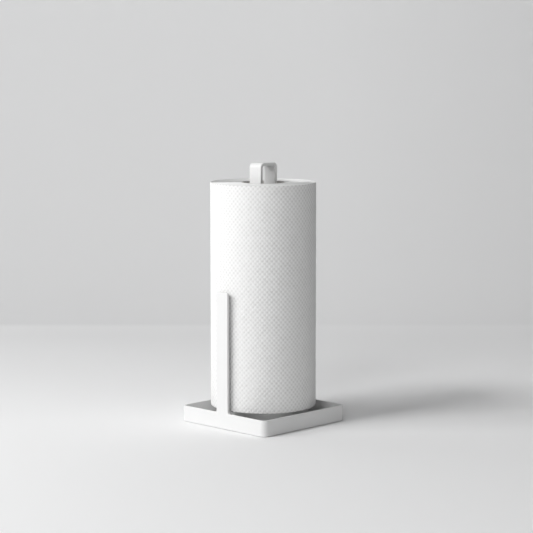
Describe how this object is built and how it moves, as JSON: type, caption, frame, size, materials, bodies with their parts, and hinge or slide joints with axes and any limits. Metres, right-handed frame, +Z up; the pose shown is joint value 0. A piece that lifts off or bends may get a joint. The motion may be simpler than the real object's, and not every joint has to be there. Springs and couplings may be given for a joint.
{
  "type": "paper towel holder",
  "caption": "Upright holder for a kitchen paper roll: square tray, hairpin centre post of flat bar and a short side arm, loaded with an embossed roll.",
  "frame": {"origin": "middle of the square tray, on the plane that its rubber feet stand on", "axes": "+Z up along the centre post and the roll's axis; X and Y along the tray's sides; the side arm stands on the -Y edge, the front; the post's two legs are side by side along Y and their flat faces point along Y"},
  "size_m": [0.12, 0.12, 0.268],
  "materials": {
    "white_powder_coat": "matte",
    "ballast_steel": "satin",
    "screw_steel": "satin",
    "foot_rubber": "matte",
    "core_board": "matte",
    "towel_paper": "matte"
  },
  "bodies": {
    "holder": {"tray": "white_powder_coat", "side_arm": "white_powder_coat", "post_loop": "white_powder_coat", "post_hub": "white_powder_coat", "roll_seat": "white_powder_coat", "ballast_disc": "ballast_steel", "base_screw_1": "screw_steel", "base_screw_2": "screw_steel", "base_screw_3": "screw_steel", "rubber_foot_front_left": "foot_rubber", "rubber_foot_front_right": "foot_rubber", "rubber_foot_back_left": "foot_rubber", "rubber_foot_back_right": "foot_rubber"},
    "core": {"cardboard_core": "core_board"},
    "paper": {"paper_roll": "towel_paper"}
  },
  "joints": [
    {"name": "roll_lift", "type": "slide", "parent": "holder", "child": "core", "axis": [0, 0, 1], "range_m": [0, 0.26]},
    {"name": "roll_spin", "type": "hinge", "parent": "core", "child": "paper", "pos_m": [0, 0, 0.133], "axis": [0, 0, 1], "continuous": true}
  ]
}
